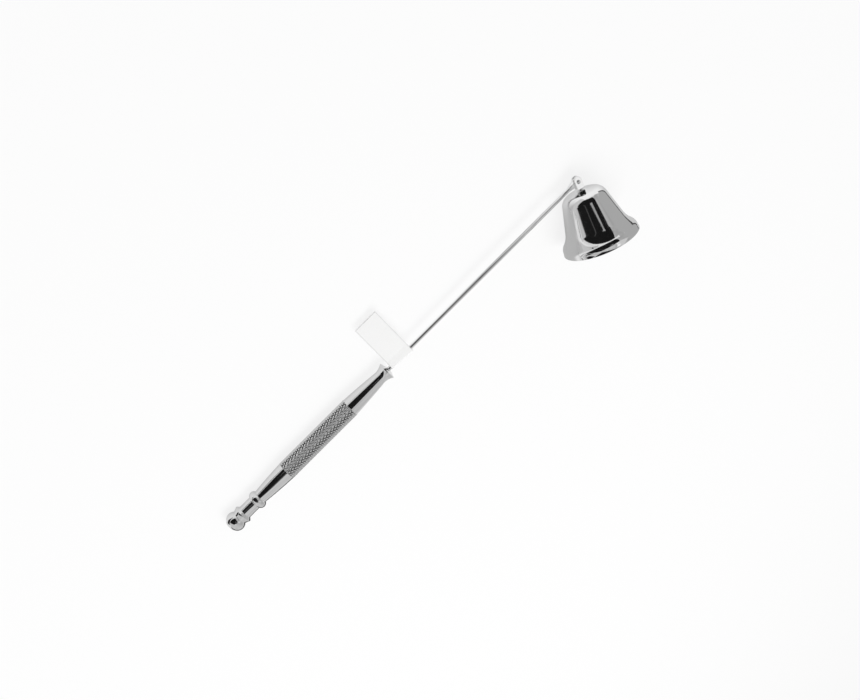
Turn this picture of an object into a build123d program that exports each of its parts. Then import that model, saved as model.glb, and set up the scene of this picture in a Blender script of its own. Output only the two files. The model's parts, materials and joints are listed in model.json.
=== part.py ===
from build123d import *

import os
from math import acos, asin, atan2, cos, degrees, hypot, radians, sin, sqrt, tan

# A candle snuffer, lying on a table. A small bell hangs from a riveted hinge at the end of a
# thin rod, and the rod is set into a turned handle with a ball end.
# Lengths are in millimetres and angles in degrees.
#
# +Z is up and the table is at Z = 0. The handle points to -X, the bell is at the +X end and
# its mouth faces -Y. The bell lies on the bead of its lip and on its shoulder, so its axis
# climbs towards the mouth, and the far end of the handle lies on its ball.

# Hinge: the angle between the bell's axis and the rod, and the stop where the rod meets the bell.
bell_to_rod_angle = 73.2
stop_clearance = 0.1

# Bell, measured along its axis from the crown's outer face, and out from that axis. The flank
# flares, rolls over a bead and sweeps out again in a small cove to the edge of the mouth. An
# angle of its side is the one between the surface and the axis.
bell_height = 26.6
bell_wall = 1.5
mouth_radius = 18.45
crown_flat_radius = 2.2
crown_angle = 78.0
shoulder_radius = 5.2
flank_angle = 15.3
flare_radius = 12.2
flare_end_angle = 44.0
lip_bead_radius = 3.7
lip_waist_angle = 4.0
lip_cove_radius = 5.7
lip_edge_angle = 24.0
lip_thickness = 2.2
lip_edge_chamfer = 0.2

# Fork on the bell's crown: two ears for the hinge pin, then a short neck that stands on the
# crown, and a thinner threaded stem that passes through it.
fork_width = 3.45
fork_depth = 3.4
fork_above_pin = 2.6
fork_below_pin = 3.55
fork_slot_below_pin = 2.75
fork_edge_chamfer = 0.15
neck_diameter = 2.2
neck_height = 0.5
stem_diameter = 1.6
stem_clearance = 0.04

# Nut on the stem, inside the crown.
nut_across_flats = 3.2
nut_height = 1.3
stem_past_nut = 0.4

# Hinge pin, a rivet with a low domed head at each end.
pin_diameter = 1.2
pin_head_diameter = 1.9
pin_head_height = 0.35
pin_seat_clearance = 0.01

# Rod, with its end flattened to an eye that turns on the pin.
rod_diameter = 1.9
rod_length_shown = 119.4
eye_diameter = 4.4
eye_thickness = 1.05
eye_neck_length = 3.6
eye_blend_length = 1.3
pin_running_clearance = 0.05
eye_side_clearance = 0.06

# Handle, measured from the ball's far end.
socket_depth = 14.0
socket_clearance = 0.02
socket_bottom_clearance = 0.05
ball_radius = 4.6
ball_half_length = 3.9
ball_rim_share = 0.87
ball_groove_radius = 3.55
collar_radius = 4.4
collar_cone_length = 2.1
collar_tip_length = 0.2
collar_back_length = 1.1
handle_neck_radius = 3.25
handle_neck_length = 6.1
bead_radius = 4.45
bead_length = 3.7
lower_taper_length = 16.8
grip_radius = 4.56
grip_length = 40.2
grip_shoulder_radius = 4.46
upper_taper_length = 18.9
waist_radius = 3.03
nose_flare_length = 4.17
nose_radius = 4.3
nose_lip_length = 0.35
nose_cone_length = 1.1

# Blank paper label, folded round the rod and stuck to itself.
label_width = 12.5
label_reach = 28.5
label_paper = 0.12
label_grip_length = 2.6
label_to_handle = 1.1
label_droop_angle = 5.0
label_clearance = 0.02

cut_overrun = 1.0

# Derived sizes of the bell. A pair (across, along) is a place in the plane through its axis:
# across is out from the axis, and along is towards the mouth from the hinge pin.
crown_along = fork_below_pin + neck_height
mouth_along = crown_along + bell_height
lip_inner_radius = mouth_radius - lip_thickness
lip_edge_along = mouth_along - lip_edge_chamfer


def outward(angle):
    """Across and along parts of the way out of the bell's side, where it has this angle."""
    return cos(radians(angle)), -sin(radians(angle))


# Centres of the arcs of the bell's side, each found from the next one towards the mouth.
edge_out = outward(lip_edge_angle)
waist_out = outward(lip_waist_angle)
flare_out = outward(flare_end_angle)
flank_out = outward(flank_angle)
crown_out = outward(crown_angle)
cove_across = mouth_radius + lip_cove_radius * edge_out[0]
cove_along = lip_edge_along + lip_cove_radius * edge_out[1]
bead_across = cove_across - (lip_cove_radius + lip_bead_radius) * waist_out[0]
bead_along = cove_along - (lip_cove_radius + lip_bead_radius) * waist_out[1]
flare_across = bead_across + (lip_bead_radius + flare_radius) * flare_out[0]
flare_along = bead_along + (lip_bead_radius + flare_radius) * flare_out[1]

# The shoulder's round touches the straight flank and the sloping crown. How far a line lies
# out is measured along its own outward way.
flank_lies_out = flare_across * flank_out[0] + flare_along * flank_out[1] - flare_radius
crown_lies_out = crown_flat_radius * crown_out[0] + crown_along * crown_out[1]
shoulder_below_flank = flank_lies_out - shoulder_radius
shoulder_below_crown = crown_lies_out - shoulder_radius
shoulder_turn = sin(radians(crown_angle - flank_angle))
shoulder_across = (
    shoulder_below_crown * flank_out[1] - shoulder_below_flank * crown_out[1]
) / shoulder_turn
shoulder_along = (
    shoulder_below_flank * crown_out[0] - shoulder_below_crown * flank_out[0]
) / shoulder_turn
rod_radius = rod_diameter / 2
pin_radius = pin_diameter / 2
slot_width = eye_thickness + 2 * eye_side_clearance

# How the snuffer lies. The table touches the bell on the bead of its lip and on its shoulder.
bead_from_shoulder = hypot(bead_along - shoulder_along, bead_across - shoulder_across)
bead_bearing = atan2(bead_along - shoulder_along, bead_across - shoulder_across)
mouth_rise = acos((shoulder_radius - lip_bead_radius) / bead_from_shoulder) - bead_bearing
hinge_height = lip_bead_radius + bead_across * cos(mouth_rise) - bead_along * sin(mouth_rise)

# Stations along the handle, from the ball's far end. The ball is a flat cap and a round rim.
ball_rim_radius = ball_half_length * ball_rim_share
ball_rim_across = ball_radius - ball_rim_radius
ball_cap_radius = (ball_half_length**2 + ball_rim_across**2 - ball_rim_radius**2) / (
    2 * (ball_half_length - ball_rim_radius)
)
ball_join_angle = degrees(atan2(ball_rim_across, ball_half_length - ball_cap_radius))
groove_turn = asin((ball_groove_radius - ball_rim_across) / ball_rim_radius)
groove_x = ball_half_length + ball_rim_radius * cos(groove_turn)
collar_x = groove_x + collar_cone_length
collar_back_x = collar_x + collar_tip_length
neck_x = collar_back_x + collar_back_length
bead_x = neck_x + handle_neck_length
lower_taper_x = bead_x + bead_length
grip_x = lower_taper_x + lower_taper_length
upper_taper_x = grip_x + grip_length
waist_x = upper_taper_x + upper_taper_length
nose_lip_x = waist_x + nose_flare_length
nose_cone_x = nose_lip_x + nose_lip_length
nose_x = nose_cone_x + nose_cone_length

pin_to_ball_end = nose_x + rod_length_shown
rod_rise = asin((hinge_height - ball_radius) / (pin_to_ball_end - ball_half_length))

rod_direction = Vector(cos(rod_rise), 0, sin(rod_rise))
bell_up = sin(mouth_rise)
bell_forward = -(cos(radians(bell_to_rod_angle)) + bell_up * sin(rod_rise)) / cos(rod_rise)
bell_sideways = -sqrt(1 - bell_up**2 - bell_forward**2)
bell_direction = Vector(bell_forward, bell_sideways, bell_up)
hinge_direction = bell_direction.cross(rod_direction).normalized()

label_droop = radians(label_droop_angle)
rod_upward = rod_direction.cross(Vector(0, 1, 0))
label_direction = Vector(0, 1, 0) * cos(label_droop) - rod_upward * sin(label_droop)

# The origin is under the middle of the whole part.
bell_reach_x = (
    lip_bead_radius + bead_across * sqrt(1 - bell_forward**2) + bead_along * bell_forward
)
handle_reach_x = pin_to_ball_end * rod_direction.X
bell_reach_y = mouth_along * abs(bell_sideways) + (mouth_radius - lip_edge_chamfer) * sqrt(
    1 - bell_sideways**2
)
label_reach_y = label_reach * label_direction.Y + label_paper * sin(label_droop)
hinge_point = Vector(
    (handle_reach_x - bell_reach_x) / 2,
    (bell_reach_y - label_reach_y) / 2,
    hinge_height,
)
ball_end_point = hinge_point - rod_direction * pin_to_ball_end
nose_point = hinge_point - rod_direction * rod_length_shown

# Planes to draw on. In the bell's plane X is across and Y is along its axis. In the rod's plane
# X runs from the handle to the hinge. The normal of both is the hinge's axis.
bell_plane = Plane(
    origin=hinge_point,
    x_dir=bell_direction.cross(hinge_direction),
    z_dir=hinge_direction,
)
rod_plane = Plane(origin=hinge_point, x_dir=rod_direction, z_dir=hinge_direction)
handle_plane = Plane(origin=ball_end_point, x_dir=rod_direction, z_dir=hinge_direction)
bell_axis = Axis(hinge_point, bell_direction)
rod_axis = Axis(hinge_point, rod_direction)
hinge_axis = Axis(hinge_point, hinge_direction)


def plane_across_bell(along):
    """A plane square to the bell's axis, at this distance from the hinge pin."""
    return Plane(
        origin=hinge_point + bell_direction * along,
        x_dir=bell_plane.x_dir,
        z_dir=bell_direction,
    )


def plane_across_rod(before_hinge):
    """A plane square to the rod, at this distance before the hinge, facing the handle."""
    return Plane(
        origin=hinge_point - rod_direction * before_hinge,
        x_dir=hinge_direction,
        z_dir=-rod_direction,
    )


def bell_top(inset):
    """Places on the bell's side, this far inside its outer face.

    They are the edge of the flat crown, the two ends of the shoulder and the start of the flare.
    """
    flat_edge = (
        crown_flat_radius - inset * tan(radians((90 - crown_angle) / 2)),
        crown_along + inset,
    )
    shoulder_ends = [
        (
            shoulder_across + (shoulder_radius - inset) * out[0],
            shoulder_along + (shoulder_radius - inset) * out[1],
        )
        for out in (crown_out, flank_out)
    ]
    flare_start = (
        flare_across - (flare_radius + inset) * flank_out[0],
        flare_along - (flare_radius + inset) * flank_out[1],
    )
    return [flat_edge, *shoulder_ends, flare_start]


# Bell: one turned shell with a thick lip and a hole in its crown for the stem. Its inside is
# plainer, with a cone in place of the shoulder's round and one along the flare.
stem_hole_radius = stem_diameter / 2 + stem_clearance
outer_top = bell_top(0)
inner_top = bell_top(bell_wall)

with BuildPart() as bell:
    with BuildSketch(bell_plane):
        with BuildLine():
            Line(outer_top[0], outer_top[1])
            CenterArc(
                (shoulder_across, shoulder_along),
                shoulder_radius,
                -crown_angle,
                crown_angle - flank_angle,
            )
            Line(outer_top[2], outer_top[3])
            CenterArc(
                (flare_across, flare_along),
                flare_radius,
                180 - flank_angle,
                flank_angle - flare_end_angle,
            )
            CenterArc(
                (bead_across, bead_along),
                lip_bead_radius,
                -flare_end_angle,
                flare_end_angle - lip_waist_angle,
            )
            CenterArc(
                (cove_across, cove_along),
                lip_cove_radius,
                180 - lip_waist_angle,
                lip_waist_angle - lip_edge_angle,
            )
            Polyline(
                (mouth_radius, lip_edge_along),
                (mouth_radius - lip_edge_chamfer, mouth_along),
                (lip_inner_radius + lip_edge_chamfer, mouth_along),
                (lip_inner_radius, lip_edge_along),
                *reversed(inner_top),
                (stem_hole_radius, crown_along + bell_wall),
                (stem_hole_radius, crown_along),
                outer_top[0],
            )
        make_face()
    revolve(axis=bell_axis)

# Fork: a square block with a round top, slotted for the rod's eye, on its neck and stem.
stem_length = bell_wall + nut_height + stem_past_nut

with BuildPart() as fork:
    with BuildSketch(bell_plane):
        with Locations((0, fork_width / 2 - fork_above_pin)):
            Circle(fork_width / 2)
            Rectangle(
                fork_width,
                fork_above_pin - fork_width / 2 + fork_below_pin,
                align=(Align.CENTER, Align.MIN),
            )
    extrude(amount=fork_depth / 2, both=True)
    foot_face = fork.faces().sort_by(bell_axis)[-1]
    chamfer(foot_face.edges(), length=fork_edge_chamfer)
    with BuildSketch(bell_plane):
        with Locations((0, fork_slot_below_pin)):
            Rectangle(
                fork_width + cut_overrun,
                fork_slot_below_pin + fork_above_pin + cut_overrun,
                align=(Align.CENTER, Align.MAX),
            )
    extrude(amount=slot_width / 2, both=True, mode=Mode.SUBTRACT)
    with BuildSketch(bell_plane):
        Circle(pin_radius + pin_seat_clearance)
    extrude(amount=fork_depth, both=True, mode=Mode.SUBTRACT)
    with BuildSketch(plane_across_bell(fork_below_pin)):
        Circle(neck_diameter / 2)
    extrude(amount=neck_height)
    with BuildSketch(plane_across_bell(crown_along)):
        Circle(stem_diameter / 2)
    extrude(amount=stem_length)

# Nut that holds the fork, seated on the flat inside of the crown.
with BuildPart() as crown_nut:
    with BuildSketch(plane_across_bell(crown_along + bell_wall)):
        RegularPolygon(nut_across_flats / 2, 6, major_radius=False)
        Circle(stem_hole_radius, mode=Mode.SUBTRACT)
    extrude(amount=nut_height)

# Hinge pin: its two heads bear on the outside of the ears.
pin_plane = Plane(origin=hinge_point, x_dir=hinge_direction, z_dir=bell_direction)
head_radius = pin_head_diameter / 2
head_dome_radius = (head_radius**2 + pin_head_height**2) / (2 * pin_head_height)
pin_half_grip = fork_depth / 2
pin_half_length = pin_half_grip + pin_head_height

with BuildPart() as hinge_pin:
    with BuildSketch(pin_plane):
        with BuildLine():
            RadiusArc((-pin_half_length, 0), (-pin_half_grip, head_radius), head_dome_radius)
            Polyline(
                (-pin_half_grip, head_radius),
                (-pin_half_grip, pin_radius),
                (pin_half_grip, pin_radius),
                (pin_half_grip, head_radius),
            )
            RadiusArc((pin_half_grip, head_radius), (pin_half_length, 0), head_dome_radius)
            Line((pin_half_length, 0), (-pin_half_length, 0))
        make_face()
    revolve(axis=hinge_axis)

# Rod: round along its length, with its end flattened to an eye.
with BuildPart() as rod:
    with BuildSketch(plane_across_rod(eye_neck_length)):
        Circle(rod_radius)
    extrude(amount=rod_length_shown - eye_neck_length + socket_depth - socket_bottom_clearance)
    hinge_end = rod.faces().sort_by(rod_axis)[-1]
    chamfer(
        hinge_end.edges(),
        length=eye_blend_length,
        length2=rod_radius - eye_thickness / 2,
        reference=rod.faces().sort_by(SortBy.AREA)[-1],
    )
    with BuildSketch(rod_plane):
        Circle(eye_diameter / 2)
        with Locations((-eye_neck_length - eye_blend_length, 0)):
            Circle(rod_radius)
        make_hull()
        Circle(pin_radius + pin_running_clearance, mode=Mode.SUBTRACT)
    extrude(amount=eye_thickness / 2, both=True)

# Handle: one turned piece. Its outline is drawn from the ball's end to the nose.
socket_radius = rod_radius + socket_clearance

with BuildPart() as handle:
    with BuildSketch(handle_plane):
        with BuildLine():
            CenterArc((ball_cap_radius, 0), ball_cap_radius, ball_join_angle, 180 - ball_join_angle)
            CenterArc(
                (ball_half_length, ball_rim_across),
                ball_rim_radius,
                degrees(groove_turn),
                ball_join_angle - degrees(groove_turn),
            )
            Polyline(
                (groove_x, ball_groove_radius),
                (collar_x, collar_radius),
                (collar_back_x, collar_radius),
                (neck_x, handle_neck_radius),
                (bead_x, handle_neck_radius),
            )
            ThreePointArc(
                (bead_x, handle_neck_radius),
                (bead_x + bead_length / 2, bead_radius),
                (lower_taper_x, handle_neck_radius),
            )
            Polyline(
                (lower_taper_x, handle_neck_radius),
                (grip_x, grip_shoulder_radius),
                (grip_x, grip_radius),
                (upper_taper_x, grip_radius),
                (upper_taper_x, grip_shoulder_radius),
                (waist_x, waist_radius),
            )
            TangentArc((waist_x, waist_radius), (nose_lip_x, nose_radius), tangent=(1, 0))
            Polyline(
                (nose_lip_x, nose_radius),
                (nose_cone_x, nose_radius),
                (nose_x, socket_radius),
                (nose_x - socket_depth, socket_radius),
                (nose_x - socket_depth, 0),
                (0, 0),
            )
        make_face()
    revolve(axis=rod_axis)

# Label: a strip of paper folded round the rod, its two halves stuck together as a flag.
label_near_handle = rod_length_shown - label_to_handle
wrap_inner_radius = rod_radius + label_clearance
wrap_outer_radius = wrap_inner_radius + label_paper
label_plane = Plane(
    origin=hinge_point - rod_direction * label_near_handle,
    x_dir=label_direction,
    z_dir=rod_direction,
)

with BuildPart() as label:
    with BuildSketch(label_plane):
        Circle(wrap_outer_radius)
        with Locations((label_grip_length, 0)):
            Circle(label_paper)
        make_hull()
        Rectangle(label_reach, 2 * label_paper, align=(Align.MIN, Align.CENTER))
        Circle(wrap_inner_radius, mode=Mode.SUBTRACT)
    extrude(amount=label_width)

bell.part.label = "bell"
fork.part.label = "fork"
crown_nut.part.label = "crown_nut"
hinge_pin.part.label = "hinge_pin"
rod.part.label = "rod"
handle.part.label = "handle"
label.part.label = "label"

os.makedirs("parts", exist_ok=True)
export_step(bell.part, "parts/bell.step")
export_step(fork.part, "parts/fork.step")
export_step(crown_nut.part, "parts/crown_nut.step")
export_step(hinge_pin.part, "parts/hinge_pin.step")
export_step(rod.part, "parts/rod.step")
export_step(handle.part, "parts/handle.step")
export_step(label.part, "parts/label.step")

# The swing of the bell about its hinge, from where it lies, each way to where the rod meets
# its shoulder. The rod is then tangent to the round of the shoulder.
shoulder_distance = hypot(shoulder_along, shoulder_across)
stop_offset = shoulder_radius + rod_radius + stop_clearance
stop_angle = degrees(asin(stop_offset / shoulder_distance) + atan2(shoulder_across, shoulder_along))
print("hinge point", hinge_point)
print("hinge axis", hinge_direction)
print("bell axis", bell_direction)
print("rod direction", rod_direction)
print("bell swing", stop_angle - bell_to_rod_angle, 360 - stop_angle - bell_to_rod_angle)
print("mouth centre", hinge_point + bell_direction * mouth_along)
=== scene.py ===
import json
from math import asin, atan2, ceil, cos, degrees, hypot, pi, radians, sin, tan

import bmesh
import bpy
from mathutils import Matrix, Vector


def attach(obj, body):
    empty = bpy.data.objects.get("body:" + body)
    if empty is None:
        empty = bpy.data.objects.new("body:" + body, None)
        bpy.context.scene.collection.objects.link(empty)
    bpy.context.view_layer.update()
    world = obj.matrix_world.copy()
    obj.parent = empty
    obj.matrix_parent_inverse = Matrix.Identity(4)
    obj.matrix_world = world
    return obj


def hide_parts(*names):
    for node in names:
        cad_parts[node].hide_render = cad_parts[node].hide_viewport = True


# A candle snuffer on a white table, under soft light. Lengths are in millimetres, in the frame
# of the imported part, and angles in degrees. MM turns a length into Blender's metres.
MM = 0.001

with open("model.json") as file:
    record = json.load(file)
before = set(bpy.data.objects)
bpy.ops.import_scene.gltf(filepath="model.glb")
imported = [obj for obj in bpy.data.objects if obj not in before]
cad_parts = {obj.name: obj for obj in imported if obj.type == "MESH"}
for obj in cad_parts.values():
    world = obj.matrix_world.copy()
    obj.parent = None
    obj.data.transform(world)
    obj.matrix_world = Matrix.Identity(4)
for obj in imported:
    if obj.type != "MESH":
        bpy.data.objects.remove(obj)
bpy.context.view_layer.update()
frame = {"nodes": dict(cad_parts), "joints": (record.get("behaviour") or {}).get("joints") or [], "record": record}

# Sizes of the bell, along its axis from the hinge pin and out from that axis. An angle of its
# side is the one between the surface and the axis.
crown_along = 4.05
bell_height = 26.6
bell_wall = 1.5
mouth_radius = 18.3
crown_flat_radius = 2.2
crown_angle = 78.0
shoulder_radius = 5.2
flank_angle = 15.3
flare_radius = 12.2
flare_end_angle = 44.0
lip_bead_radius = 3.7
lip_waist_angle = 4.0
lip_cove_radius = 9.0
lip_edge_angle = 14.0
lip_thickness = 2.2
lip_edge_chamfer = 0.2
stem_hole_radius = 0.84

# Sizes of the handle, measured from the ball's far end.
rod_radius = 0.95
rod_length_shown = 119.4
socket_depth = 14.0
socket_clearance = 0.02
ball_radius = 4.6
ball_half_length = 3.9
ball_rim_share = 0.87
ball_groove_radius = 3.55
collar_radius = 4.4
collar_cone_length = 2.1
collar_tip_length = 0.2
collar_back_length = 1.1
handle_neck_radius = 3.25
handle_neck_length = 6.1
bead_radius = 4.45
bead_length = 3.7
lower_taper_length = 16.8
lower_taper_bulge = 0.14
grip_radius = 4.56
grip_length = 40.2
grip_shoulder_radius = 4.46
upper_taper_length = 18.9
upper_taper_bulge = 0.1
waist_radius = 3.03
nose_flare_length = 4.17
nose_radius = 4.3
nose_lip_length = 0.35
nose_cone_length = 1.1

# Diamond knurling of the grip: grooves of both hands, and what they leave between them.
knurl_starts = 22
knurl_lead_share = 2.25
knurl_depth = 0.22
knurl_flat_share = 0.44
knurl_sharp_angle = 12.0
knurl_weld = 0.001

# Paper label, folded round the rod.
label_width = 12.5
label_reach = 27.6
label_paper = 0.12
label_grip_length = 2.6
label_to_handle = 1.1
label_droop_angle = 5.0
label_clearance = 0.02
label_layer_gap = 0.01
label_fold_slack = 1.0
label_skew = 0.8
label_narrowing = 0.4
label_steps_across = 24
label_steps_along = 60
label_fold_steps = 20

# How finely round shapes are divided, and where their faces stop being smooth.
arc_steps = 24
shoulder_steps = 40
flare_steps = 32
ball_steps = 48
bell_steps = 256
handle_steps = 160
longest_run = 0.8
smooth_angle = 35.0

# Camera: where its middle ray meets the table, and how it stands and is turned there.
camera_aim = (5.5, -11.7, 0.0)
camera_azimuth = -179.4
camera_elevation = 46.26
camera_distance = 442.2
camera_roll = -134.3
camera_lens = 39.77
camera_clip = 10.0

# The bell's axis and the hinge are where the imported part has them.
hinge = Vector(frame["joints"][0]["pos_m"]) / MM
hinge_way = Vector(frame["joints"][0]["axis"])
bell_way = Vector(frame["record"]["mounts"][0]["axis"])


def arc(centre, radius, start, turn, steps=arc_steps):
    """Places on an arc in a flat outline, from the start angle through the turn."""
    angles = [radians(start + turn * step / steps) for step in range(steps + 1)]
    return [(centre[0] + radius * cos(a), centre[1] + radius * sin(a)) for a in angles]


def bulged(start, end, bulge, steps=arc_steps):
    """Places on a shallow arc between two places, which stands out by the bulge."""
    places = []
    for step in range(steps + 1):
        share = step / steps
        lift = 4 * bulge * share * (1 - share)
        along = start[0] + (end[0] - start[0]) * share
        places.append((along, start[1] + (end[1] - start[1]) * share + lift))
    return places


def finely(outline):
    """The outline with its long straight runs divided, which keeps their shading straight."""
    places = [outline[0]]
    for start, end in zip(outline, outline[1:]):
        length = hypot(end[0] - start[0], end[1] - start[1])
        if length < 1e-6:
            continue
        parts = ceil(length / longest_run)
        for part in range(1, parts + 1):
            share = part / parts
            places.append(
                (start[0] + (end[0] - start[0]) * share, start[1] + (end[1] - start[1]) * share)
            )
    return places


def finish_mesh(name, bm, sharp_angle=smooth_angle):
    """Turns a bmesh in millimetres into an object with smooth faces and crisp corners."""
    bmesh.ops.recalc_face_normals(bm, faces=bm.faces)
    bmesh.ops.scale(bm, vec=(MM, MM, MM), verts=bm.verts)
    mesh = bpy.data.meshes.new(name)
    bm.to_mesh(mesh)
    bm.free()
    mesh.shade_smooth()
    mesh.set_sharp_from_angle(angle=radians(sharp_angle))
    piece = bpy.data.objects.new(name, mesh)
    bpy.context.scene.collection.objects.link(piece)
    return piece


def turned(name, outline, start, way, side, steps):
    """A turned piece. The outline gives places (out from the axis, along it)."""
    other_side = way.cross(side)
    bm = bmesh.new()
    rings = []
    for out, along in outline:
        middle = start + way * along
        if out < 1e-6:
            rings.append([bm.verts.new(middle)])
            continue
        ring = []
        for step in range(steps):
            turn = 2 * pi * step / steps
            ring.append(bm.verts.new(middle + (side * cos(turn) + other_side * sin(turn)) * out))
        rings.append(ring)
    closed = outline[0][0] > 1e-6
    following = rings[1:] + rings[:1] if closed else rings[1:]
    for ring, next_ring in zip(rings, following):
        for step in range(steps):
            after = (step + 1) % steps
            corners = [ring[step % len(ring)], ring[after % len(ring)]]
            corners += [next_ring[after % len(next_ring)], next_ring[step % len(next_ring)]]
            bm.faces.new(list(dict.fromkeys(corners)))
    return finish_mesh(name, bm)


# Bell: a chain of arcs that meet smoothly, from the crown to the mouth


def outward(angle):
    """Across and along parts of the way out of the bell's side, where it has this angle."""
    return cos(radians(angle)), -sin(radians(angle))


def meeting(first_out, first_reach, second_out, second_reach):
    """The place that lies out by each reach along its own way."""
    turn = first_out[0] * second_out[1] - first_out[1] * second_out[0]
    across = (first_reach * second_out[1] - second_reach * first_out[1]) / turn
    along = (first_out[0] * second_reach - second_out[0] * first_reach) / turn
    return across, along


def bell_outline():
    """The bell's outline, from its crown out to the mouth and back inside."""
    mouth_along = crown_along + bell_height
    edge_along = mouth_along - lip_edge_chamfer
    edge_out = outward(lip_edge_angle)
    waist_out = outward(lip_waist_angle)
    flare_out = outward(flare_end_angle)
    flank_out = outward(flank_angle)
    crown_out = outward(crown_angle)

    def beyond(place, distance, out):
        return place[0] + distance * out[0], place[1] + distance * out[1]

    cove = beyond((mouth_radius, edge_along), lip_cove_radius, edge_out)
    bead = beyond(cove, -lip_cove_radius - lip_bead_radius, waist_out)
    flare = beyond(bead, lip_bead_radius + flare_radius, flare_out)
    flank_reach = flare[0] * flank_out[0] + flare[1] * flank_out[1] - flare_radius
    crown_reach = crown_flat_radius * crown_out[0] + crown_along * crown_out[1]
    shoulder = meeting(
        flank_out, flank_reach - shoulder_radius, crown_out, crown_reach - shoulder_radius
    )
    inner_flat_radius = crown_flat_radius - bell_wall * tan(radians((90 - crown_angle) / 2))
    inner_round = shoulder_radius - bell_wall
    inner_lip = mouth_radius - lip_thickness
    outline = [(stem_hole_radius, crown_along), (crown_flat_radius, crown_along)]
    shoulder_turn = crown_angle - flank_angle
    flare_turn = flank_angle - flare_end_angle
    bead_turn = flare_end_angle - lip_waist_angle
    cove_turn = lip_waist_angle - lip_edge_angle
    outline += arc(shoulder, shoulder_radius, -crown_angle, shoulder_turn, shoulder_steps)
    outline += arc(flare, flare_radius, 180 - flank_angle, flare_turn, flare_steps)
    outline += arc(bead, lip_bead_radius, -flare_end_angle, bead_turn, flare_steps)
    outline += arc(cove, lip_cove_radius, 180 - lip_waist_angle, cove_turn)
    outline += [
        (mouth_radius - lip_edge_chamfer, mouth_along),
        (inner_lip + lip_edge_chamfer, mouth_along),
        (inner_lip, edge_along),
        beyond(flare, -flare_radius - bell_wall, flank_out),
        beyond(shoulder, inner_round, flank_out),
        beyond(shoulder, inner_round, crown_out),
        (inner_flat_radius, crown_along + bell_wall),
        (stem_hole_radius, crown_along + bell_wall),
        (stem_hole_radius, crown_along),
    ]
    return finely(outline)[:-1]


# Handle: stations along it, from the ball's far end. The ball is a flat cap and a round rim.
ball_rim_radius = ball_half_length * ball_rim_share
ball_rim_across = ball_radius - ball_rim_radius
ball_cap_radius = (ball_half_length**2 + ball_rim_across**2 - ball_rim_radius**2) / (
    2 * (ball_half_length - ball_rim_radius)
)
ball_join_angle = degrees(atan2(ball_rim_across, ball_half_length - ball_cap_radius))
groove_turn = asin((ball_groove_radius - ball_rim_across) / ball_rim_radius)
groove_x = ball_half_length + ball_rim_radius * cos(groove_turn)
collar_x = groove_x + collar_cone_length
collar_back_x = collar_x + collar_tip_length
neck_x = collar_back_x + collar_back_length
bead_x = neck_x + handle_neck_length
lower_taper_x = bead_x + bead_length
grip_x = lower_taper_x + lower_taper_length
upper_taper_x = grip_x + grip_length
waist_x = upper_taper_x + upper_taper_length
nose_lip_x = waist_x + nose_flare_length
nose_cone_x = nose_lip_x + nose_lip_length
nose_x = nose_cone_x + nose_cone_length
socket_radius = rod_radius + socket_clearance

pin_to_ball_end = nose_x + rod_length_shown
rod_rise = asin((hinge.z - ball_radius) / (pin_to_ball_end - ball_half_length))
rod_way = Vector((cos(rod_rise), 0, sin(rod_rise)))
across_rod = Vector((0, 1, 0))
ball_end = hinge - rod_way * pin_to_ball_end


def lower_handle_outline():
    """Ball, collar, neck, bead and lower taper, as (along, out) places."""
    bead_bulge = bead_radius - handle_neck_radius
    bead_round = ((bead_length / 2) ** 2 + bead_bulge**2) / (2 * bead_bulge)
    bead_turn = degrees(asin(bead_length / 2 / bead_round))
    outline = arc((ball_cap_radius, 0), ball_cap_radius, 180, ball_join_angle - 180)
    outline += arc(
        (ball_half_length, ball_rim_across),
        ball_rim_radius,
        ball_join_angle,
        degrees(groove_turn) - ball_join_angle,
        ball_steps,
    )
    outline += [
        (collar_x, collar_radius),
        (collar_back_x, collar_radius),
        (neck_x, handle_neck_radius),
    ]
    outline += arc(
        (bead_x + bead_length / 2, bead_radius - bead_round),
        bead_round,
        90 + bead_turn,
        -2 * bead_turn,
    )
    outline += bulged(
        (lower_taper_x, handle_neck_radius), (grip_x, grip_shoulder_radius), lower_taper_bulge
    )
    outline += [(grip_x, 0)]
    return [(out, along) for along, out in finely(outline)]


def upper_handle_outline():
    """Upper taper, flared nose and the socket of the rod, as (along, out) places."""
    flare_rise = nose_radius - waist_radius
    flare_round = (nose_flare_length**2 + flare_rise**2) / (2 * flare_rise)
    flare_turn = degrees(asin(nose_flare_length / flare_round))
    outline = [(upper_taper_x, 0)]
    outline += bulged(
        (upper_taper_x, grip_shoulder_radius), (waist_x, waist_radius), upper_taper_bulge
    )
    outline += arc((waist_x, waist_radius + flare_round), flare_round, -90, flare_turn)
    outline += [
        (nose_cone_x, nose_radius),
        (nose_x, socket_radius),
        (nose_x - socket_depth, socket_radius),
        (nose_x - socket_depth, 0),
    ]
    return [(out, along) for along, out in finely(outline)]


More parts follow.
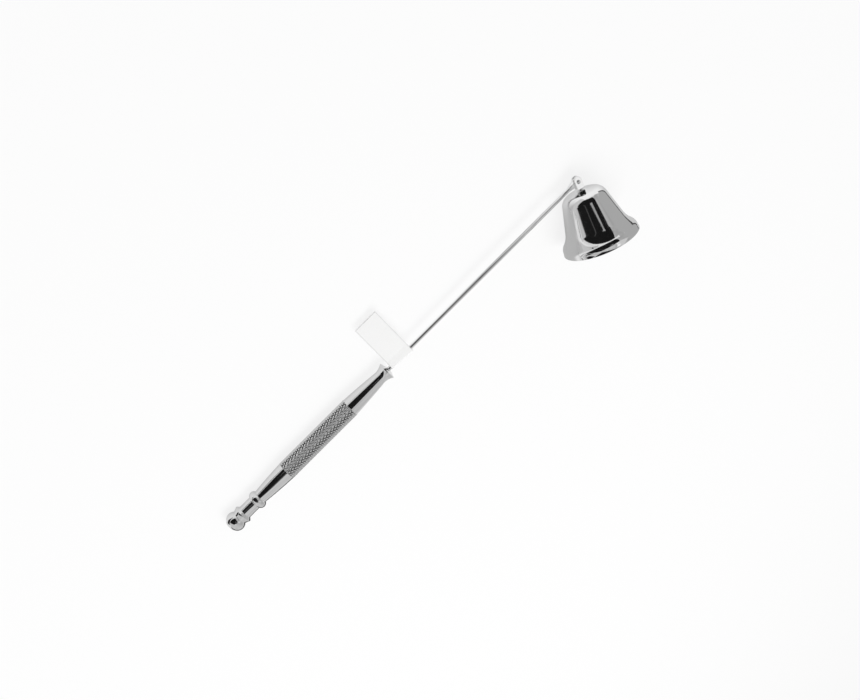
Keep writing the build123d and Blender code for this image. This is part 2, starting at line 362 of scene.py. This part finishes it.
def make_knurl():
    """The grip's diamonds: each is a low pyramid with a flat top, between crossed grooves."""
    other_side = rod_way.cross(across_rod)
    rows = ceil(grip_length / knurl_lead_share)

    def place(first, second, out):
        turn = pi * (first + second) / knurl_starts
        along = upper_taper_x - knurl_lead_share * (first - second) / 2
        outward_way = across_rod * cos(turn) + other_side * sin(turn)
        return ball_end + rod_way * along + outward_way * out

    bm = bmesh.new()
    groove = bm.verts.layers.float.new("groove")
    valley_radius = grip_radius - knurl_depth
    margin = (1 - knurl_flat_share) / 2
    for row in range(-1, 2 * rows + 2):
        for start in range(knurl_starts):
            # Cells of one row have the same difference between their two groove counts.
            second = start - row // 2
            first = second + row
            corners = [(0, 0), (1, 0), (1, 1), (0, 1)]
            low = [bm.verts.new(place(first + a, second + b, valley_radius)) for a, b in corners]
            high = [
                bm.verts.new(
                    place(
                        first + margin + a * knurl_flat_share,
                        second + margin + b * knurl_flat_share,
                        grip_radius,
                    )
                )
                for a, b in corners
            ]
            for vert in low:
                vert[groove] = 1.0
            bm.faces.new(high)
            for corner in range(4):
                after = (corner + 1) % 4
                bm.faces.new((low[corner], low[after], high[after], high[corner]))
    bmesh.ops.remove_doubles(bm, verts=bm.verts, dist=knurl_weld)
    for along, keep_way in ((grip_x, -rod_way), (upper_taper_x, rod_way)):
        everything = bm.verts[:] + bm.edges[:] + bm.faces[:]
        cut = bmesh.ops.bisect_plane(
            bm,
            geom=everything,
            plane_co=ball_end + rod_way * along,
            plane_no=keep_way,
            clear_outer=True,
        )
        rim = [item for item in cut["geom_cut"] if isinstance(item, bmesh.types.BMEdge)]
        bmesh.ops.contextual_create(bm, geom=rim)
    return finish_mesh("grip_knurl", bm, knurl_sharp_angle)


# Label: a ribbon with real thickness, whose cut edges are marked for the material's painted shade


def make_label():
    """A paper strip folded loosely round the rod, with its two layers stuck together."""
    droop = radians(label_droop_angle)
    rod_up = rod_way.cross(across_rod)
    reach_way = across_rod * cos(droop) - rod_up * sin(droop)
    thickness_way = rod_way.cross(reach_way)
    near = hinge - rod_way * (rod_length_shown - label_to_handle)
    inside = rod_radius + label_clearance

    def layer(height, radius):
        """Path of one face of the paper, from the far end round the rod and back."""
        straight = []
        for step in range(label_steps_along):
            share = step / label_steps_along
            reach = label_reach + (label_grip_length - label_reach) * share
            straight.append((reach, height))
        back = [(reach, -height) for reach, height in reversed(straight)]
        return straight + arc((0, 0), radius, 90, 180, label_fold_steps) + back

    outer = layer(label_paper + label_layer_gap / 2, inside + label_paper)
    inner = layer(label_layer_gap / 2, inside)
    section = list(zip(outer, inner))
    bm = bmesh.new()
    rim = bm.verts.layers.float.new("rim")
    rows = []
    for step in range(label_steps_across + 1):
        share = step / label_steps_across
        row = []
        for faces in section:
            pair = []
            on_rim = step in (0, label_steps_across) or faces in (section[0], section[-1])
            for reach, height in faces:
                loose = label_fold_slack * share if reach <= 0 else 0
                reach_share = max(reach, 0) / label_reach
                along = (label_width - label_narrowing * reach_share) * share
                along += label_skew * reach_share
                place = near + rod_way * along + reach_way * (reach - loose)
                pair.append(bm.verts.new(place + thickness_way * height))
                pair[-1][rim] = on_rim
            row.append(pair)
        rows.append(row)
    for row, next_row in zip(rows, rows[1:]):
        for pair, after, next_pair, next_after in zip(row, row[1:], next_row, next_row[1:]):
            for side in (0, 1):
                bm.faces.new((pair[side], after[side], next_after[side], next_pair[side]))
        for end in (0, -1):
            bm.faces.new((*row[end], *reversed(next_row[end])))
    for row in (rows[0], rows[-1]):
        for pair, after in zip(row, row[1:]):
            bm.faces.new((*pair, *reversed(after)))
    return finish_mesh("paper_label", bm)


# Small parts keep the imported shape, with their edges broken a little.
weld_distance = 0.002
flat_angle = 1.0
packed_sharp_angle = 30.0
bevel_angle = 40.0
bevel_segments = 2
fork_edge = 0.12
nut_edge = 0.1
pin_edge = 0.04
rod_edge = 0.08


def with_broken_edges(node, name, width):
    """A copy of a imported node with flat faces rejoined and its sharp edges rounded."""
    bm = bmesh.new()
    bm.from_mesh(frame["nodes"][node].data)
    bmesh.ops.scale(bm, vec=(1 / MM, 1 / MM, 1 / MM), verts=bm.verts)
    bmesh.ops.remove_doubles(bm, verts=bm.verts, dist=weld_distance)
    bmesh.ops.dissolve_limit(
        bm, angle_limit=radians(flat_angle), verts=bm.verts, edges=bm.edges, delimit={"NORMAL"}
    )
    piece = finish_mesh(name, bm, packed_sharp_angle)
    bevel = piece.modifiers.new("broken edges", "BEVEL")
    bevel.width = width * MM
    bevel.segments = bevel_segments
    bevel.limit_method = "ANGLE"
    bevel.angle_limit = radians(bevel_angle)
    bevel.harden_normals = True
    return piece


# Materials. Their patterns are counted in repeats to the metre.
chrome_grey = 0.9
chrome_roughness = 0.05
knurl_roughness = 0.2
# How much darker the knurl's grooves are coloured
knurl_groove_darkening = 0.42
patch_scale = 90.0
patch_roughness = 0.05
scratch_scale = (300.0, 4000.0, 4000.0)
scratch_strength = 0.02
paper_roughness = 0.75
paper_specular = 0.3
paper_dark = (0.92, 0.92, 0.915, 1)
paper_light = (0.965, 0.965, 0.96, 1)
# Painted shade along the label's cut edges
paper_edge_shade = (0.7, 0.7, 0.695, 1)
fibre_scale = 2600.0
fibre_strength = 0.15
bump_distance = 0.02


def grey(level):
    return (level, level, level, 1)


def new_node(nodes, kind, values=None, **settings):
    """A shader node with these settings and these values on its sockets."""
    node = nodes.new(f"ShaderNode{kind}")
    for name, setting in settings.items():
        setattr(node, name, setting)
    for name, value in (values or {}).items():
        node.inputs[name].default_value = value
    return node


def new_material(name):
    material = bpy.data.materials.new(name)
    material.use_nodes = True
    nodes = material.node_tree.nodes
    return material, nodes, material.node_tree.links, nodes["Principled BSDF"]


def add_bump(nodes, links, shader, height, strength):
    """Puts fine relief on the material's surface."""
    bump = new_node(nodes, "Bump", {"Strength": strength, "Distance": bump_distance * MM})
    links.new(height, bump.inputs["Height"])
    links.new(bump.outputs["Normal"], shader.inputs["Normal"])


def chrome_material(name, roughness, darkening=0.0):
    """Polished plating: hairline scratches, duller patches and, in grooves, a darker base colour."""
    material, nodes, links, shader = new_material(name)
    shader.inputs["Base Color"].default_value = grey(chrome_grey)
    shader.inputs["Metallic"].default_value = 1.0
    place = new_node(nodes, "TexCoord")

    patches = new_node(nodes, "TexNoise", {"Scale": patch_scale, "Detail": 4.0})
    spread = new_node(
        nodes,
        "MapRange",
        {
            "From Min": 0.35,
            "From Max": 0.75,
            "To Min": roughness,
            "To Max": roughness + patch_roughness,
        },
    )
    links.new(place.outputs["Object"], patches.inputs["Vector"])
    links.new(patches.outputs["Fac"], spread.inputs["Value"])
    links.new(spread.outputs["Result"], shader.inputs["Roughness"])

    stretch = new_node(nodes, "Mapping", {"Scale": scratch_scale})
    scratches = new_node(nodes, "TexNoise", {"Scale": 1.0, "Detail": 2.0})
    links.new(place.outputs["Object"], stretch.inputs["Vector"])
    links.new(stretch.outputs["Vector"], scratches.inputs["Vector"])
    add_bump(nodes, links, shader, scratches.outputs["Fac"], scratch_strength)

    # Base colour darker in the grooves, by the groove mark on the knurl's valleys
    if darkening:
        groove = new_node(nodes, "Attribute", attribute_name="groove")
        plain_and_darker = {"A": grey(chrome_grey), "B": grey(chrome_grey * (1 - darkening))}
        colour = new_node(nodes, "Mix", plain_and_darker, data_type="RGBA")
        links.new(groove.outputs["Fac"], colour.inputs["Factor"])
        links.new(colour.outputs["Result"], shader.inputs["Base Color"])
    return material


def paper_material():
    """Smooth white card with a faint fibre grain, and painted shade at its cut edges, where it is greyer."""
    material, nodes, links, shader = new_material("label_paper")
    shader.inputs["Roughness"].default_value = paper_roughness
    shader.inputs["Specular IOR Level"].default_value = paper_specular
    place = new_node(nodes, "TexCoord")
    fibres = new_node(nodes, "TexNoise", {"Scale": fibre_scale, "Detail": 6.0})
    tint = new_node(nodes, "ValToRGB")
    for stop, position, colour in zip(
        tint.color_ramp.elements, (0.3, 0.6), (paper_dark, paper_light)
    ):
        stop.position = position
        stop.color = colour
    # Painted shade: the paper is greyer where its cut edges run
    rim = new_node(nodes, "Attribute", attribute_name="rim")
    edged = new_node(nodes, "Mix", {"B": paper_edge_shade}, data_type="RGBA")
    links.new(place.outputs["Object"], fibres.inputs["Vector"])
    links.new(fibres.outputs["Fac"], tint.inputs["Fac"])
    links.new(rim.outputs["Fac"], edged.inputs["Factor"])
    links.new(tint.outputs["Color"], edged.inputs["A"])
    links.new(edged.outputs["Result"], shader.inputs["Base Color"])
    add_bump(nodes, links, shader, fibres.outputs["Fac"], fibre_strength)
    return material


# Pieces of the object
bell_pieces = {
    "bell": turned(
        "bell_shell", bell_outline(), hinge, bell_way, bell_way.cross(hinge_way), bell_steps
    ),
    "fork": with_broken_edges("fork", "hinge_fork", fork_edge),
    "crown_nut": with_broken_edges("crown_nut", "stem_nut", nut_edge),
    "hinge_pin": with_broken_edges("hinge_pin", "hinge_rivet", pin_edge),
}
handle_pieces = {
    "rod": with_broken_edges("rod", "snuffer_rod", rod_edge),
    "handle": turned(
        "handle_foot", lower_handle_outline(), ball_end, rod_way, across_rod, handle_steps
    ),
    "label": make_label(),
}
handle_head = turned(
    "handle_head", upper_handle_outline(), ball_end, rod_way, across_rod, handle_steps
)
knurl = make_knurl()

chrome = chrome_material("chrome", chrome_roughness)
knurled_chrome = chrome_material("knurled_chrome", knurl_roughness, knurl_groove_darkening)
paper = paper_material()


def dress(piece, body, node, material):
    """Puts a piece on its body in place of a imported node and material."""
    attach(piece, body)
    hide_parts(node)
    piece.data.materials.append(material)


for body, group in (("bell", bell_pieces), ("handle", handle_pieces)):
    for node, piece in group.items():
        if node == "label":
            dress(piece, body, node, paper)
        else:
            dress(piece, body, node, chrome)
dress(handle_head, "handle", "handle", chrome)
dress(knurl, "handle", "handle", knurled_chrome)


# Studio: a white table in a pale tent, which the metal sees with darker and lighter cards in it


def tone(level):
    """Linear grey for a grey level of a picture, from 0 to 255."""
    share = level / 255
    return ((share + 0.055) / 1.055) ** 2.4


def stage_panel(name, corners, material):
    """A flat panel given by its corners in millimetres."""
    bm = bmesh.new()
    bm.faces.new([bm.verts.new(corner) for corner in corners])
    panel = finish_mesh(name, bm)
    panel.data.materials.append(material)
    return panel


def ramp(nodes, links, value, start, end, low, high):
    """A level that goes smoothly from low to high while the value goes from start to end."""
    ends = {"From Min": start, "From Max": end, "To Min": low, "To Max": high}
    step = new_node(nodes, "MapRange", ends, interpolation_type="SMOOTHSTEP")
    links.new(value, step.inputs["Value"])
    return step.outputs["Result"]


def combined(nodes, links, operation, first, second):
    """The result of a sum or product of two numbers or sockets."""
    node = new_node(nodes, "Math", operation=operation)
    for socket, value in zip(node.inputs, (first, second)):
        if isinstance(value, float):
            socket.default_value = value
        else:
            links.new(value, socket)
    return node.outputs["Value"]


def mixed(nodes, links, share, first, second):
    """A mix of two shaders, by a share of the second."""
    mix = new_node(nodes, "MixShader")
    for socket, source in zip(mix.inputs, (share, first, second)):
        links.new(source, socket)
    return mix.outputs["Shader"]


# Tones of the table to the metal are painted shade by place: pale shade at the handle and
# the rod, deeper shade beside the bell and behind it, and white in front of it. Each step
# lies between two places along X or Y.
table_half = 1500.0
shaded_table_at_handle = 0.74
shaded_table_at_rod = 0.82
shaded_table_beside_bell = 0.5
table_white = 0.95
handle_to_rod = (-20 * MM, -10 * MM)
rod_to_bell_side = (20 * MM, 50 * MM)
bell_side_to_bell = (70 * MM, 110 * MM)
behind_to_front = (-20 * MM, 10 * MM)
unshaded_share_behind_bell = 0.3
glow_to_camera = 0.8
glow_to_metal = 0.6


def table_material():
    """White table. To the camera it is plain white with the object's shadow; to the metal it shows painted shade
    by place.
    """
    material, nodes, links, shader = new_material("white_table")
    shader.inputs["Roughness"].default_value = 0.9
    shader.inputs["Specular IOR Level"].default_value = 0.0
    place = new_node(nodes, "TexCoord")
    axes = new_node(nodes, "SeparateXYZ")
    links.new(place.outputs["Object"], axes.inputs["Vector"])
    along, across = axes.outputs["X"], axes.outputs["Y"]

    # Painted shade on the table as the metal sees it, darker near and behind the object
    at_handle = ramp(nodes, links, along, *handle_to_rod, shaded_table_at_handle, shaded_table_at_rod)
    past_rod = ramp(nodes, links, along, *rod_to_bell_side, 0.0, shaded_table_beside_bell - shaded_table_at_rod)
    at_bell = ramp(nodes, links, along, *bell_side_to_bell, 0.0, table_white - shaded_table_beside_bell)
    in_front = ramp(nodes, links, across, *behind_to_front, unshaded_share_behind_bell, 1.0)
    lit_at_bell = combined(nodes, links, "MULTIPLY", at_bell, in_front)
    beside = combined(nodes, links, "ADD", past_rod, lit_at_bell)
    to_metal = combined(nodes, links, "ADD", at_handle, beside)

    rays = new_node(nodes, "LightPath")
    white = new_node(nodes, "Emission", {"Strength": 1.0})
    for plain, socket in ((table_white, shader.inputs["Base Color"]), (1.0, white.inputs["Color"])):
        colour = new_node(nodes, "Mix", {"A": grey(plain)}, data_type="RGBA")
        links.new(rays.outputs["Is Glossy Ray"], colour.inputs["Factor"])
        links.new(to_metal, colour.inputs["B"])
        links.new(colour.outputs["Result"], socket)
    glow = combined(
        nodes,
        links,
        "ADD",
        combined(nodes, links, "MULTIPLY", rays.outputs["Is Camera Ray"], glow_to_camera),
        combined(nodes, links, "MULTIPLY", rays.outputs["Is Glossy Ray"], glow_to_metal),
    )
    surface = mixed(nodes, links, glow, shader.outputs["BSDF"], white.outputs["Emission"])
    links.new(surface, nodes["Material Output"].inputs["Surface"])
    return material


def card_material(level):
    """A reflected card of this grey level."""
    material, nodes, links, shader = new_material(f"card_{level}")
    nodes.remove(shader)
    glow = new_node(nodes, "Emission", {"Color": grey(tone(level)), "Strength": 1.0})
    links.new(glow.outputs["Emission"], nodes["Material Output"].inputs["Surface"])
    return material


def reflected_card(name, level, corners):
    """A card that only the metal sees."""
    card = stage_panel(name, corners, card_material(level))
    card.visible_camera = False
    card.visible_diffuse = False
    card.visible_transmission = False
    card.visible_shadow = False


def block(low, high, bottom, top):
    """Corners of a rectangle."""
    return [(low, bottom), (high, bottom), (high, top), (low, top)]


def upright(y, corners):
    """A card in front of the object, with corners (x, z)."""
    return [(x, y, z) for x, z in corners]


def sideways(x, corners):
    """A card past the object's bell end, with corners (y, z)."""
    return [(x, y, z) for y, z in corners]


def lying(z, corners):
    """A card above or on the table, with corners (x, y)."""
    return [(x, y, z) for x, y in corners]


# Grey levels of the cards
dark = 22
shade = 70
dim = 80
pale = 200
bright = 230

# The tent is open in front, to a dark room with a lamp high up in it and a bright sill.
room_y = 900
room_top = 2070
room_west = -1257
room = [(room_west, 0), (695, 0), (1380, 1990), (1300, room_top), (room_west, room_top)]
room_lamp = [(110, 1230), (430, 1230), (450, 1420), (420, 1560), (310, 1560)]
room_sill = [(room_west, 0), (1100, 0), (1100, 220), (500, 140), (-100, 76), (-700, 30)]

# Dark sheets lie just over the table, at the ball, under the handle and behind it; the ones under
# and behind the handle are painted shadow of the object on the table.
shade_z = 0.3
end_shade = [(-122, 6), (-112, 36), (-200, 110), (-200, 20)]
back_shade = [(-80, -7), (-95, -600), (-420, -600), (-260, -7)]

# A pale card close to the rod, with a dark one before it that rounds the bell's dark window.
rod_card_y = 14
corner_y = 13.9
rod_card = [(48, 8), (103, 8), (103, 21), (84, 21)]
corner_shade = [(83, 18.6), (88, 17.0), (94, 16.2), (100, 16.2), (106, 18.2), (106, 23), (83, 23)]

# Past the bell stand a wall and, farther off, a lamp.
wall_x = 165
wall_foot_top = 7
side_lamp = [(-200, 250), (158, 470), (158, 900), (-200, 900)]

cards = (
    ("dark_room", dark, upright(room_y, room)),
    ("room_lamp", 158, upright(room_y - 1, room_lamp)),
    ("room_side", 88, upright(room_y - 2, block(-440, -395, 640, room_top))),
    ("room_front_edge", bright, upright(room_y - 3, room_sill)),
    ("fork_lamp", 245, lying(150, block(126, 150, -6, 20))),
    ("low_white_card", 202, upright(70, block(-50, -10, 0, 20))),
    ("high_card", dark, upright(20, block(-40, 30, 38, 68))),
    ("high_card_side", dim, upright(20, block(-112, -80, 37, 68))),
    ("floor_shade", dark, lying(shade_z, block(-150, -95, 36, 110))),
    ("end_shade", dark, lying(shade_z, end_shade)),
    ("under_shade", dim, lying(shade_z, block(-118, -77, -4, 4.2))),
    ("back_shade", shade, lying(shade_z, back_shade)),
    ("rod_card", pale, upright(rod_card_y, rod_card)),
    ("corner_shade", dark, upright(corner_y, corner_shade)),
    ("side_wall", 172, sideways(wall_x, block(-150, 20, wall_foot_top, 80))),
    ("wall_foot", 60, sideways(wall_x, block(-150, 20, 0, wall_foot_top))),
    ("side_lamp", 206, sideways(400, side_lamp)),
)

table_corners = lying(0, block(-table_half, table_half, -table_half, table_half))
stage_panel("table", table_corners, table_material())
for name, level, corners in cards:
    reflected_card(name, level, corners)

# The tent's tones, and the lamp over the table
tent_light = 0.5
tent_sides = (-0.4, 0.7)
tent_west_level = 199
tent_east_level = 174
fold_scale = (7.0, 7.0, 1.2)
fold_shade = 0.86
fold_light = 1.12
top_lamp_place = (-200, -250, 900)
top_lamp_size = 700
top_lamp_watts = 5.4


def make_world():
    """A pale tent: grey with soft folds to the metal, plain for the light, white to the camera."""
    world = bpy.data.worlds.new("tent")
    bpy.context.scene.world = world
    world.use_nodes = True
    nodes = world.node_tree.nodes
    links = world.node_tree.links
    place = new_node(nodes, "TexCoord")
    axes = new_node(nodes, "SeparateXYZ")
    links.new(place.outputs["Generated"], axes.inputs["Vector"])
    levels = (tone(tent_west_level), tone(tent_east_level))
    side = ramp(nodes, links, axes.outputs["X"], *tent_sides, *levels)
    stretch = new_node(nodes, "Mapping", {"Scale": fold_scale})
    folds = new_node(nodes, "TexNoise", {"Scale": 1.0, "Detail": 3.0})
    links.new(place.outputs["Generated"], stretch.inputs["Vector"])
    links.new(stretch.outputs["Vector"], folds.inputs["Vector"])
    folded_share = ramp(nodes, links, folds.outputs["Fac"], 0.3, 0.7, fold_shade, fold_light)

    tent = nodes["Background"]
    tent.inputs["Color"].default_value = grey(tent_light)
    tent.inputs["Strength"].default_value = 1.0
    folded = new_node(nodes, "Background")
    links.new(combined(nodes, links, "MULTIPLY", side, folded_share), folded.inputs["Color"])
    backdrop = new_node(nodes, "Background", {"Color": grey(1)})
    rays = new_node(nodes, "LightPath")
    light = mixed(
        nodes,
        links,
        rays.outputs["Is Glossy Ray"],
        tent.outputs["Background"],
        folded.outputs["Background"],
    )
    surface = mixed(
        nodes, links, rays.outputs["Is Camera Ray"], light, backdrop.outputs["Background"]
    )
    links.new(surface, nodes["World Output"].inputs["Surface"])


def make_lamp(name, place, size, watts):
    """A soft square lamp above the table, aimed at the middle of the object."""
    data = bpy.data.lights.new(name, "AREA")
    data.size = size * MM
    data.energy = watts
    lamp = bpy.data.objects.new(name, data)
    lamp.location = Vector(place) * MM
    lamp.rotation_euler = Vector(place).to_track_quat("Z", "Y").to_euler()
    lamp.visible_glossy = False
    bpy.context.scene.collection.objects.link(lamp)


make_world()
make_lamp("top_lamp", top_lamp_place, top_lamp_size, top_lamp_watts)


def make_camera():
    azimuth = radians(camera_azimuth)
    elevation = radians(camera_elevation)
    roll = radians(camera_roll)
    back = Vector(
        (sin(azimuth) * cos(elevation), -cos(azimuth) * cos(elevation), sin(elevation))
    )
    level_right = Vector((cos(azimuth), sin(azimuth), 0))
    up = back.cross(level_right) * cos(roll) + level_right * sin(roll)
    data = bpy.data.cameras.new("camera")
    data.lens = camera_lens
    data.clip_start = camera_clip * MM
    camera = bpy.data.objects.new("camera", data)
    axes = Matrix((up.cross(back), up, back)).transposed().to_4x4()
    place = (Vector(camera_aim) + back * camera_distance) * MM
    camera.matrix_world = Matrix.Translation(place) @ axes
    bpy.context.scene.collection.objects.link(camera)
    bpy.context.scene.camera = camera


make_camera()
bpy.context.scene.view_settings.view_transform = "Standard"
